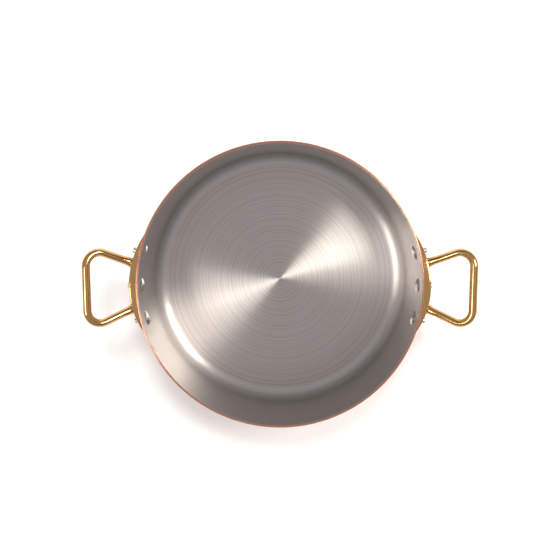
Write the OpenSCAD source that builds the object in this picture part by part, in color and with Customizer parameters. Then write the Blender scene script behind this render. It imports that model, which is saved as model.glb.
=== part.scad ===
// Open two-handled saute pan: a copper shell with a thin steel lining,
// and two cast brass loop handles, each held by three rivets.
// The origin is the centre of the underside, +Z points out of the opening,
// and the handles stand out along X.

/* [Pan] */
// Inside diameter of the pan at the rim
pan_bore = 240; // [200:1:320]
// Inside depth from the rim to the cooking floor
inner_depth = 72; // [60:1:110]
// Thickness of the copper
copper_t = 1.8; // [1.2:0.1:3]
// Thickness of the steel lining
steel_t = 0.2; // [0.2:0.05:0.5]
// Radius of the inside corner between the floor and the wall
corner_r = 13; // [6:0.5:24]
// Inward lean of the wall towards the floor, in degrees
wall_lean = 3; // [0:0.5:6]
// Rounding of the outer edge of the rim
rim_round = 0.7; // [0.2:0.1:1]

/* [Handle saddle] */
// Distance from the rim down to the middle of the saddle and its rivets
handle_drop = 16; // [15:0.5:24]
// Length of the saddle from tip to tip, across the handle
saddle_length = 90; // [78:1:100]
// Height of the saddle at its middle
saddle_height = 25; // [20:0.5:28]
// Thickness of the saddle at its middle
saddle_t = 6.6; // [5:0.1:9]
// Radius of the saddle's outer face, seen from above
saddle_face_r = 90; // [80:1:110]

/* [Handle loop] */
// Diameter of the round bar
bar_d = 7; // [5.5:0.1:9]
// Distance between the legs where they leave the saddle
leg_spacing = 37; // [34:0.5:40]
// Width of the loop over its bends
loop_width = 67; // [60:0.5:76]
// Distance from the rim's outer edge to the loop's outer edge, in plan
loop_reach = 42.7; // [38:0.1:60]
// Bend radius of the bar's centre line
bend_r = 11.5; // [8:0.5:14]
// Upward tilt of the loop, in degrees from level
loop_tilt = 32; // [0:1:45]
// Extra radius of the flare where a leg meets the saddle
flare_extra = 2; // [0.5:0.1:3]
// Length of that flare along the leg
flare_length = 7; // [3:0.5:10]

/* [Rivets] */
// Diameter of the rivet shank
shank_d = 5; // [4:0.1:6]
// Diameter of the low domed head inside the pan
head_d = 12.5; // [9:0.5:14]
// Height of the domed head
head_h = 1.8; // [1:0.1:3]
// Angle between neighbouring rivets round the pan
rivet_angle = 13.8; // [12.5:0.1:16]
// How far the shank's end stands proud of the saddle
tail_proud = 4; // [2:0.1:6]
// Radial clearance of the shank in its holes
hole_gap = 0.02; // [0.01:0.01:0.1]

/* [Hidden] */
$fn = 96;

wall_t = copper_t + steel_t;
height = inner_depth + wall_t;
bore_r = pan_bore / 2;
rim_r = bore_r + wall_t;
seat_z = height - handle_drop;
bar_r = bar_d / 2;
shank_r = shank_d / 2;
hole_r = shank_r + hole_gap;

// Radius of a leaning wall at height z, from its radius at the rim
function wall_r(r, z) = r - (height - z) * tan(wall_lean);

inner_seat_r = wall_r(bore_r, seat_z);
outer_seat_r = wall_r(rim_r, seat_z);
saddle_face_x = outer_seat_r + saddle_t;
// The shank's end follows the saddle's outer face at each rivet
side_y = saddle_face_x * sin(rivet_angle);
side_face_x = saddle_face_x - saddle_face_r + sqrt(saddle_face_r ^ 2 - side_y ^ 2);
// The flat underside of a head clears the curve of the wall by this much
head_lift = inner_seat_r - sqrt(inner_seat_r ^ 2 - (head_d / 2) ^ 2) + hole_gap;
tail_bevel = shank_r / 3;
side_face_r = sqrt(side_face_x ^ 2 + side_y ^ 2);

// The loop is drawn in its own tilted plane: x along the slope, y across
loop_start_x = outer_seat_r + saddle_t / 2;
grip_x = (rim_r + loop_reach - bar_r - loop_start_x) / cos(loop_tilt);
bend_x = grip_x - bend_r;
bend_y = loop_width / 2 - bar_r - bend_r;
root_y = leg_spacing / 2;
root_to_bend = sqrt(bend_x ^ 2 + (bend_y - root_y) ^ 2);
leg_angle = atan2(bend_y - root_y, bend_x) + asin(bend_r / root_to_bend);
bar_sides = 28;
bend_steps = 12;
flare_steps = 6;

copper = [0.72, 0.43, 0.31];
steel = [0.62, 0.61, 0.59];
rivet_steel = [0.75, 0.74, 0.72];
brass = [0.83, 0.64, 0.33];

// Half profile of a cup whose wall meets the floor at z = floor_z
module cup_profile(top_r, floor_z, round_r) {
    centre_x = wall_r(top_r, floor_z + round_r) - round_r / cos(wall_lean);
    centre_z = floor_z + round_r;
    polygon([
        [0, floor_z],
        [centre_x, floor_z],
        [centre_x + round_r * cos(wall_lean), centre_z - round_r * sin(wall_lean)],
        [top_r, height],
        [0, height]
    ]);
    translate([centre_x, centre_z]) circle(round_r);
}

module cup(top_r, floor_z, round_r) {
    rotate_extrude($fn = 180) cup_profile(top_r, floor_z, round_r);
}

// The corner that is taken off the outer edge of the rim
module rim_edge_profile() {
    difference() {
        translate([rim_r - rim_round, height - rim_round]) square(2 * rim_round);
        translate([rim_r - rim_round, height - rim_round]) circle(rim_round);
    }
}

module pan_outside() { cup(rim_r, 0, corner_r + wall_t); }

// Puts its children at a rivet, with +Z along the rivet and out of the wall
module at_rivet(side, place) {
    rotate([0, 0, side * 180 + place * rivet_angle])
        translate([outer_seat_r, 0, seat_z])
            rotate([0, 90 + wall_lean, 0]) children();
}

module rivet_holes() {
    for (side = [0, 1], place = [-1, 0, 1])
        at_rivet(side, place)
            translate([0, 0, -wall_t - head_d])
                cylinder(r = hole_r, h = wall_t + head_d + saddle_t + side_y);
}

module copper_shell() {
    color(copper) difference() {
        rotate_extrude($fn = 180) difference() {
            cup_profile(rim_r, 0, corner_r + wall_t);
            cup_profile(bore_r + steel_t, copper_t, corner_r + steel_t);
            rim_edge_profile();
        }
        rivet_holes();
    }
}

module steel_lining() {
    color(steel) difference() {
        rotate_extrude($fn = 180) difference() {
            cup_profile(bore_r + steel_t, copper_t, corner_r + steel_t);
            cup_profile(bore_r, wall_t, corner_r);
        }
        rivet_holes();
    }
}

// Outline of the saddle seen from the side: two arcs that meet at its tips
module saddle_outline() {
    half_l = saddle_length / 2 + bar_r;
    half_h = saddle_height / 2;
    arc_r = (half_l ^ 2 + half_h ^ 2) / (2 * half_h);
    intersection() {
        translate([0, arc_r - half_h]) circle(arc_r, $fn = 180);
        translate([0, half_h - arc_r]) circle(arc_r, $fn = 180);
        circle(saddle_length / 2);
    }
}

module saddle() {
    intersection() {
        translate([0, 0, seat_z]) rotate([90, 0, 90])
            linear_extrude(height = rim_r * 2) saddle_outline();
        translate([saddle_face_x, 0, seat_z]) rotate([0, wall_lean, 0])
            translate([-saddle_face_r, 0, 0])
                cylinder(r = saddle_face_r, h = 2 * saddle_height, center = true, $fn = 180);
    }
}

// A ring of the bar: its centre in the loop's plane, the angle of the bar's
// direction there, and its radius
function leg_rings() = [
    for (k = [-1:flare_steps])
        let (t = k < 0 ? -flare_extra : flare_length * k / flare_steps)
        let (grow = k < 0 ? 1 : 1 - sqrt(1 - (1 - k / flare_steps) ^ 2))
        [t * cos(leg_angle), root_y + t * sin(leg_angle), leg_angle, bar_r + flare_extra * grow]
];
function bend_rings() = [
    for (k = [0:bend_steps])
        let (turn = leg_angle - (90 + leg_angle) * k / bend_steps)
        [bend_x - bend_r * sin(turn), bend_y + bend_r * cos(turn), turn, bar_r]
];
function mirrored_rings(rings) = [
    for (k = [len(rings) - 1:-1:0])
        [rings[k][0], -rings[k][1], -180 - rings[k][2], rings[k][3]]
];
function ring_points(ring) = [
    for (k = [0:bar_sides - 1])
        let (a = 360 * k / bar_sides)
        [
            ring[0] - ring[3] * cos(a) * sin(ring[2]),
            ring[1] + ring[3] * cos(a) * cos(ring[2]),
            ring[3] * sin(a)
        ]
];

// The bar of the loop: leg, bend, grip, bend and leg in one tube
module loop_bar() {
    half = concat(leg_rings(), bend_rings());
    rings = concat(half, mirrored_rings(half));
    last = len(rings) - 1;
    sides = [for (r = [0:last - 1], k = [0:bar_sides - 1])
        let (n = (k + 1) % bar_sides)
        [r * bar_sides + k, (r + 1) * bar_sides + k, (r + 1) * bar_sides + n, r * bar_sides + n]
    ];
    start_cap = [for (k = [0:bar_sides - 1]) k];
    end_cap = [for (k = [bar_sides - 1:-1:0]) last * bar_sides + k];
    polyhedron([for (ring = rings) each ring_points(ring)], concat(sides, [start_cap, end_cap]));
}

module loop() {
    translate([loop_start_x, 0, seat_z]) rotate([0, -loop_tilt, 0]) loop_bar();
}

// Handle on the +X side
module handle() {
    color(brass) difference() {
        union() {
            saddle();
            loop();
        }
        pan_outside();
        rivet_holes();
    }
}

module handle_right() { handle(); }
module handle_left() { rotate([0, 0, 180]) handle(); }

// Side 0 is +X and side 1 is -X; place -1, 0 and 1 go round the pan
module rivet(side, place) {
    face_r = place == 0 ? saddle_face_x : side_face_r;
    tail_z = face_r - outer_seat_r + tail_proud;
    dome_r = ((head_d / 2) ^ 2 + head_h ^ 2) / (2 * head_h);
    color(rivet_steel) at_rivet(side, place) rotate_extrude() {
        polygon([
            [0, -wall_t - head_lift - head_h / 2],
            [shank_r, -wall_t - head_lift - head_h / 2],
            [shank_r, tail_z - tail_bevel],
            [shank_r - tail_bevel, tail_z],
            [0, tail_z]
        ]);
        translate([0, -wall_t - head_lift]) intersection() {
            translate([0, dome_r - head_h]) circle(dome_r, $fn = 360);
            translate([0, -head_h]) square([head_d / 2, head_h]);
        }
    }
}

module rivet_right_front() { rivet(0, -1); }
module rivet_right_middle() { rivet(0, 0); }
module rivet_right_back() { rivet(0, 1); }
module rivet_left_front() { rivet(1, 1); }
module rivet_left_middle() { rivet(1, 0); }
module rivet_left_back() { rivet(1, -1); }

copper_shell();
steel_lining();
handle_left();
handle_right();
rivet_left_front();
rivet_left_middle();
rivet_left_back();
rivet_right_front();
rivet_right_middle();
rivet_right_back();
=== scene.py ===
from math import cos, pi, radians, sin, sqrt, tan

import bmesh
import bpy
from mathutils import Matrix, Vector


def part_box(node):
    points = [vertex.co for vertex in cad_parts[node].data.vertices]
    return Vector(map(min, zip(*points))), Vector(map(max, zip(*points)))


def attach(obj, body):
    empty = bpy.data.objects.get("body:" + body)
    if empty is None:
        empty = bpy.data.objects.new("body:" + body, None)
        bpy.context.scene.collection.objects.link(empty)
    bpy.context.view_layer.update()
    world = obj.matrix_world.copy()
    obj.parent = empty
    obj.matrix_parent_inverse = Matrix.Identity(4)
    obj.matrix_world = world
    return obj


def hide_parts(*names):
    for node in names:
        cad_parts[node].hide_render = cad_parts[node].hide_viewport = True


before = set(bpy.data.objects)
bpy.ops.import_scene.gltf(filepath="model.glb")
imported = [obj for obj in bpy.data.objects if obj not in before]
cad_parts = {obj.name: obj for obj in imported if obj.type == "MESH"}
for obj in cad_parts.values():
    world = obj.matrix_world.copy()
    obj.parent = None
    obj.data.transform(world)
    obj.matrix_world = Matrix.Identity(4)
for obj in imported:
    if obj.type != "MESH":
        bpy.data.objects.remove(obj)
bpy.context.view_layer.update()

# Copper shell
# The outer body of the pan, pressed from 1.8 mm copper sheet in one piece, with
# near-upright walls that lean in by a few degrees and a softly rounded rim.
shell_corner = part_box("copper_shell")[1]
rim_r = shell_corner.x
pan_height = shell_corner.z
copper_t = 0.0018
steel_t = 0.0002
wall_t = copper_t + steel_t
inner_corner_r = 0.013
wall_lean = radians(3)
rim_round = 0.0007
arc_steps = 14
rim_steps = 4
turn_steps = 256
crease_angle = radians(50)
on_axis = 1e-7


def wall_radius(top_r, z):
    """Radius of a leaning wall at height z, from its radius at the rim."""
    return top_r - (pan_height - z) * tan(wall_lean)


def cup_line(top_r, floor_z, corner_r):
    """Half profile of a cup from its axis, round its corner, to its rim."""
    centre_z = floor_z + corner_r
    centre_x = wall_radius(top_r, centre_z) - corner_r / cos(wall_lean)
    line = [(0.0, floor_z)]
    for k in range(arc_steps + 1):
        a = -pi / 2 + (pi / 2 - wall_lean) * k / arc_steps
        line.append((centre_x + corner_r * cos(a), centre_z + corner_r * sin(a)))
    line.append((top_r, pan_height))
    return line


def revolve(name, line):
    """A closed solid of revolution from a half profile whose ends lie on the axis."""
    bm = bmesh.new()
    rings = []
    for x, z in line:
        if x < on_axis:
            rings.append([bm.verts.new((0, 0, z))])
            continue
        angles = [2 * pi * k / turn_steps for k in range(turn_steps)]
        rings.append([bm.verts.new((x * cos(a), x * sin(a), z)) for a in angles])
    for low, high in zip(rings, rings[1:]):
        for k in range(turn_steps):
            n = (k + 1) % turn_steps
            near = [low[k % len(low)], low[n % len(low)]]
            far = [high[n % len(high)], high[k % len(high)]]
            corners = list(dict.fromkeys(near + far))
            if len(corners) > 2:
                bm.faces.new(corners)
    bmesh.ops.recalc_face_normals(bm, faces=bm.faces)
    mesh = bpy.data.meshes.new(name)
    bm.to_mesh(mesh)
    bm.free()
    mesh.shade_smooth()
    mesh.set_sharp_from_angle(angle=crease_angle)
    piece = bpy.data.objects.new(name, mesh)
    bpy.context.scene.collection.objects.link(piece)
    return piece


def new_material(name, color, roughness):
    """A metal with its shader and Object coordinates ready to be wired."""
    mat = bpy.data.materials.new(name)
    mat.use_nodes = True
    shader = mat.node_tree.nodes["Principled BSDF"]
    shader.inputs["Base Color"].default_value = (*color, 1)
    shader.inputs["Metallic"].default_value = 1.0
    shader.inputs["Roughness"].default_value = roughness
    coords = mat.node_tree.nodes.new("ShaderNodeTexCoord")
    return mat, shader, coords


mottle_detail = 5


def mottle_group():
    """Soft cloudy variation of colour and roughness, as on handled metal."""
    group = bpy.data.node_groups.new("metal_mottle", "ShaderNodeTree")
    make = group.interface.new_socket
    make("Vector", in_out="INPUT", socket_type="NodeSocketVector")
    for label in ("Scale", "Rough Low", "Rough High"):
        make(label, in_out="INPUT", socket_type="NodeSocketFloat")
    make("Light Color", in_out="INPUT", socket_type="NodeSocketColor")
    make("Deep Color", in_out="INPUT", socket_type="NodeSocketColor")
    make("Color", in_out="OUTPUT", socket_type="NodeSocketColor")
    make("Roughness", in_out="OUTPUT", socket_type="NodeSocketFloat")
    nodes, links = group.nodes, group.links
    source = nodes.new("NodeGroupInput")
    result = nodes.new("NodeGroupOutput")
    noise = nodes.new("ShaderNodeTexNoise")
    noise.inputs["Detail"].default_value = mottle_detail
    blend = nodes.new("ShaderNodeMix")
    blend.data_type = "RGBA"
    spread = nodes.new("ShaderNodeMapRange")
    links.new(source.outputs["Vector"], noise.inputs["Vector"])
    links.new(source.outputs["Scale"], noise.inputs["Scale"])
    links.new(noise.outputs["Fac"], blend.inputs[0])
    links.new(source.outputs["Light Color"], blend.inputs[6])
    links.new(source.outputs["Deep Color"], blend.inputs[7])
    links.new(noise.outputs["Fac"], spread.inputs["Value"])
    links.new(source.outputs["Rough Low"], spread.inputs["To Min"])
    links.new(source.outputs["Rough High"], spread.inputs["To Max"])
    links.new(blend.outputs[2], result.inputs["Color"])
    links.new(spread.outputs["Result"], result.inputs["Roughness"])
    return group


mottle = mottle_group()


def add_mottle(mat, shader, coords, scale, rough, light, deep):
    """Places the mottle group in a material with that finish's own values."""
    node = mat.node_tree.nodes.new("ShaderNodeGroup")
    node.node_tree = mottle
    node.inputs["Scale"].default_value = scale
    node.inputs["Rough Low"].default_value = rough[0]
    node.inputs["Rough High"].default_value = rough[1]
    node.inputs["Light Color"].default_value = (*light, 1)
    node.inputs["Deep Color"].default_value = (*deep, 1)
    links = mat.node_tree.links
    links.new(coords.outputs["Object"], node.inputs["Vector"])
    links.new(node.outputs["Color"], shader.inputs["Base Color"])
    links.new(node.outputs["Roughness"], shader.inputs["Roughness"])


copper_mat, copper_shader, copper_coords = new_material(
    "satin_copper", color=(0.85, 0.42, 0.28), roughness=0.2
)
add_mottle(
    copper_mat, copper_shader, copper_coords,
    scale=30, rough=(0.14, 0.26), light=(0.74, 0.34, 0.225), deep=(0.58, 0.245, 0.155),
)

outer_line = cup_line(rim_r, 0.0, inner_corner_r + wall_t)[:-1]
for k in range(rim_steps + 1):
    a = pi / 2 * k / rim_steps
    outer_line.append(
        (rim_r - rim_round + rim_round * cos(a), pan_height - rim_round + rim_round * sin(a))
    )
seam_line = cup_line(rim_r - copper_t, copper_t, inner_corner_r + steel_t)
shell = revolve("pan_shell", outer_line + seam_line[::-1])
shell.data.materials.append(copper_mat)
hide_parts("copper_shell")
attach(shell, "root")

# Steel lining
# A 0.2 mm stainless skin bonded inside the copper. It is brushed while the pan
# turns, so the fine scratches are circles and the light draws fans on it.
bore_line = cup_line(rim_r - wall_t, wall_t, inner_corner_r)
lining = revolve("pan_lining", seam_line + bore_line[::-1])
brush_scale = 700
brush_detail = 6
brush_rough = (0.27, 0.35)
brush_dark = (0.5, 0.468, 0.455, 1)
brush_light = (0.64, 0.6, 0.585, 1)
dark_end = 0.3
light_start = 0.7
brush_stretch = 0.95
brush_turn = 0.25
scratch_strength = 0.12
scratch_depth = 0.00005


def brushed_steel():
    """Steel with fine scratches in rings round the pan's axis."""
    mat, shader, coords = new_material(
        "circular_brushed_steel", color=(0.6, 0.58, 0.56), roughness=0.3
    )
    nodes, links = mat.node_tree.nodes, mat.node_tree.links
    shader.inputs["Anisotropic"].default_value = brush_stretch
    shader.inputs["Anisotropic Rotation"].default_value = brush_turn
    tangent = nodes.new("ShaderNodeTangent")
    tangent.direction_type = "RADIAL"
    tangent.axis = "Z"
    split = nodes.new("ShaderNodeSeparateXYZ")
    flat = nodes.new("ShaderNodeCombineXYZ")
    radius = nodes.new("ShaderNodeVectorMath")
    radius.operation = "LENGTH"
    along = nodes.new("ShaderNodeMath")
    fine = nodes.new("ShaderNodeTexNoise")
    fine.noise_dimensions = "1D"
    fine.inputs["Scale"].default_value = brush_scale
    fine.inputs["Detail"].default_value = brush_detail
    tone = nodes.new("ShaderNodeMapRange")
    tone.inputs["To Min"].default_value = brush_rough[0]
    tone.inputs["To Max"].default_value = brush_rough[1]
    ramp = nodes.new("ShaderNodeValToRGB")
    ramp.color_ramp.elements[0].color = brush_dark
    ramp.color_ramp.elements[0].position = dark_end
    ramp.color_ramp.elements[1].color = brush_light
    ramp.color_ramp.elements[1].position = light_start
    bump = nodes.new("ShaderNodeBump")
    bump.inputs["Strength"].default_value = scratch_strength
    bump.inputs["Distance"].default_value = scratch_depth
    links.new(coords.outputs["Object"], split.inputs[0])
    links.new(split.outputs["X"], flat.inputs["X"])
    links.new(split.outputs["Y"], flat.inputs["Y"])
    links.new(flat.outputs[0], radius.inputs[0])
    links.new(radius.outputs["Value"], along.inputs[0])
    links.new(split.outputs["Z"], along.inputs[1])
    links.new(along.outputs[0], fine.inputs["W"])
    links.new(fine.outputs["Fac"], tone.inputs["Value"])
    links.new(fine.outputs["Fac"], ramp.inputs["Fac"])
    links.new(fine.outputs["Fac"], bump.inputs["Height"])
    links.new(tone.outputs["Result"], shader.inputs["Roughness"])
    links.new(ramp.outputs["Color"], shader.inputs["Base Color"])
    links.new(bump.outputs["Normal"], shader.inputs["Normal"])
    links.new(tangent.outputs["Tangent"], shader.inputs["Tangent"])
    return mat


lining.data.materials.append(brushed_steel())
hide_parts("steel_lining")
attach(lining, "root")

# Loop handles
# Cast and polished brass, each with its saddle in one casting. The legs run
# into the saddle with soft fillets, as a casting's corners do.
brass_mat, brass_shader, brass_coords = new_material(
    "polished_brass", color=(0.85, 0.6, 0.27), roughness=0.12
)
add_mottle(
    brass_mat, brass_shader, brass_coords,
    scale=45, rough=(0.06, 0.14), light=(0.7, 0.44, 0.2), deep=(0.6, 0.35, 0.14),
)
cast_voxel = 0.0005
cast_smoothing = 10
weld_distance = 1e-6
handle_drop = 0.016
seat_z = pan_height - handle_drop
saddle_t = 0.0066
leg_x = wall_radius(rim_r, seat_z) + saddle_t / 2
leg_y = 0.0185
leg_tilt = radians(32)
leg_angle = radians(22.4)
bar_r = 0.0035
fillet_extra = 0.0036
fillet_length = 0.012
fillet_steps = 8
fillet_sides = 40
fillet_overlap = 1.02


def add_leg_fillets(bm, side):
    """Round flares where both legs of one handle leave the saddle."""
    for across in (-1, 1):
        root = Vector((side * leg_x, across * leg_y, seat_z))
        along = Vector((
            side * cos(leg_tilt) * cos(leg_angle),
            across * sin(leg_angle),
            sin(leg_tilt) * cos(leg_angle),
        ))
        turn = along.to_track_quat("Z", "Y").to_matrix().to_4x4()
        step = fillet_length / fillet_steps
        radii = [
            bar_r + fillet_extra * (1 - sqrt(1 - (1 - k / fillet_steps) ** 2))
            for k in range(fillet_steps + 1)
        ]
        for k in range(fillet_steps):
            place = Matrix.Translation(root + along * step * (k + 0.5)) @ turn
            bmesh.ops.create_cone(
                bm, cap_ends=True, segments=fillet_sides, radius1=radii[k], radius2=radii[k + 1],
                depth=step * fillet_overlap, matrix=place,
            )


def cast_handle(name, node, side):
    """The CAD handle as one smooth skin, with its corners softened."""
    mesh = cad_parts[node].data.copy()
    mesh.materials.clear()
    bm = bmesh.new()
    bm.from_mesh(mesh)
    bmesh.ops.remove_doubles(bm, verts=bm.verts, dist=weld_distance)
    add_leg_fillets(bm, side)
    bm.to_mesh(mesh)
    bm.free()
    rough = bpy.data.objects.new(name + "_rough", mesh)
    bpy.context.scene.collection.objects.link(rough)
    skin = rough.modifiers.new("skin", "REMESH")
    skin.mode = "VOXEL"
    skin.voxel_size = cast_voxel
    soften = rough.modifiers.new("soften", "SMOOTH")
    soften.iterations = cast_smoothing
    graph = bpy.context.evaluated_depsgraph_get()
    smooth = bpy.data.meshes.new_from_object(rough.evaluated_get(graph))
    bpy.data.objects.remove(rough)
    smooth.shade_smooth()
    piece = bpy.data.objects.new(name, smooth)
    bpy.context.scene.collection.objects.link(piece)
    piece.data.materials.clear()
    piece.data.materials.append(brass_mat)
    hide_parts(node)
    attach(piece, "root")


for name, side in (("left", -1), ("right", 1)):
    cast_handle("loop_handle_" + name, "handle_" + name, side)

# Rivets
# Stainless rivets with a low dome inside the pan and a plain stub outside,
# three to a handle. Their solids already have the true shape.
rivet_mat, rivet_shader, rivet_coords = new_material(
    "rivet_steel", color=(0.7, 0.69, 0.67), roughness=0.2
)
add_mottle(
    rivet_mat, rivet_shader, rivet_coords,
    scale=400, rough=(0.14, 0.3), light=(0.74, 0.72, 0.7), deep=(0.55, 0.53, 0.51),
)
for name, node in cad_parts.items():
    if name.startswith("rivet_"):
        node.data.materials.clear()
        node.data.materials.append(rivet_mat)

# Floor, light and camera
# A plain pale floor, a warm soft lamp high on each side, and one at the back that
# lights the floor and isn't mirrored in the metal. The camera is above the pan,
# a little to its back, and aims at the middle of the rim.
floor_size = 6.0
floor_color = (0.9, 0.9, 0.9, 1)
floor_rough = 0.9
bpy.ops.mesh.primitive_plane_add(size=floor_size, location=(0, 0, 0))
floor = bpy.context.object
floor.name = "floor"
floor_mat = bpy.data.materials.new("pale_floor")
floor_mat.use_nodes = True
floor_shader = floor_mat.node_tree.nodes["Principled BSDF"]
floor_shader.inputs["Base Color"].default_value = floor_color
floor_shader.inputs["Roughness"].default_value = floor_rough
floor_shader.inputs["Emission Color"].default_value = (1, 1, 1, 1)


def seen_factor(tree, strength):
    """Strength for rays from the camera and from glossy or clear surfaces."""
    path = tree.nodes.new("ShaderNodeLightPath")
    first = tree.nodes.new("ShaderNodeMath")
    second = tree.nodes.new("ShaderNodeMath")
    third = tree.nodes.new("ShaderNodeMath")
    third.operation = "MULTIPLY"
    third.inputs[1].default_value = strength
    tree.links.new(path.outputs["Is Camera Ray"], first.inputs[0])
    tree.links.new(path.outputs["Is Glossy Ray"], first.inputs[1])
    tree.links.new(first.outputs[0], second.inputs[0])
    tree.links.new(path.outputs["Is Transmission Ray"], second.inputs[1])
    tree.links.new(second.outputs[0], third.inputs[0])
    return third.outputs[0]


floor_glow = 0.12
floor_tree = floor_mat.node_tree
floor_tree.links.new(seen_factor(floor_tree, floor_glow), floor_shader.inputs["Emission Strength"])
floor.data.materials.append(floor_mat)

world = bpy.data.worlds.new("studio")
bpy.context.scene.world = world
world.use_nodes = True
world_tree = world.node_tree
direction = world_tree.nodes.new("ShaderNodeTexCoord")
height_part = world_tree.nodes.new("ShaderNodeSeparateXYZ")
horizon_color = (0.9, 0.9, 0.9, 1)
zenith_color = (0.62, 0.58, 0.575, 1)
height_and_grey = ((0.3, 0.75), (0.42, 0.08), (0.52, 0.08), (0.62, 0.55), (0.8, 0.6))
backdrop_white = (1.2, 1.2, 1.2, 1)
world_strength = 0.85
studio = world_tree.nodes.new("ShaderNodeValToRGB")
studio.color_ramp.elements[0].color = horizon_color
studio.color_ramp.elements[1].color = zenith_color
for height, grey in height_and_grey:
    band = studio.color_ramp.elements.new(height)
    band.color = (grey, grey, grey, 1)
world_tree.links.new(direction.outputs["Generated"], height_part.inputs[0])
world_tree.links.new(height_part.outputs["Z"], studio.inputs["Fac"])
seen_white = world_tree.nodes.new("ShaderNodeMix")
seen_white.data_type = "RGBA"
seen_white.inputs[7].default_value = backdrop_white
world_path = world_tree.nodes.new("ShaderNodeLightPath")
world_tree.links.new(world_path.outputs["Is Camera Ray"], seen_white.inputs[0])
world_tree.links.new(studio.outputs["Color"], seen_white.inputs[6])
world_tree.links.new(seen_white.outputs[2], world_tree.nodes["Background"].inputs["Color"])
world_tree.nodes["Background"].inputs["Strength"].default_value = world_strength


def panel(name, azimuth, elevation, distance, size, power, color=(1, 1, 1)):
    """A soft square lamp aimed at the middle of the pan."""
    lamp = bpy.data.lights.new(name, "AREA")
    lamp.size = size
    lamp.energy = power
    lamp.color = color
    obj = bpy.data.objects.new(name, lamp)
    away = Vector((
        cos(elevation) * cos(azimuth), cos(elevation) * sin(azimuth), sin(elevation)
    ))
    obj.location = away * distance
    obj.rotation_euler = away.to_track_quat("Z", "Y").to_euler()
    bpy.context.scene.collection.objects.link(obj)
    return obj


warm_light = (1, 0.95, 0.87)
panel(
    "panel_right", azimuth=radians(20), elevation=radians(56),
    distance=1.2, size=0.42, power=6.5, color=warm_light,
)
panel(
    "panel_left", azimuth=radians(202), elevation=radians(54),
    distance=1.6, size=0.5, power=5.5, color=warm_light,
)
shade_lamp = panel(
    "shade_lamp", azimuth=radians(90), elevation=radians(60), distance=1.5, size=0.4, power=13
)
shade_lamp.visible_glossy = False

camera_distance = 0.6
camera_tilt = radians(7.2)
focal_px = 712
picture_px = 560
drop_px = 7.8
sensor_mm = 36
camera_data = bpy.data.cameras.new("camera")
camera_data.sensor_width = sensor_mm
camera_data.lens = focal_px / picture_px * sensor_mm
camera_data.shift_y = drop_px / picture_px
camera = bpy.data.objects.new("camera", camera_data)
camera.location = (
    0,
    camera_distance * sin(camera_tilt),
    pan_height + camera_distance * cos(camera_tilt),
)
camera.rotation_euler = (-camera_tilt, 0, 0)
bpy.context.scene.collection.objects.link(camera)
bpy.context.scene.camera = camera
bpy.context.scene.view_settings.view_transform = "Standard"
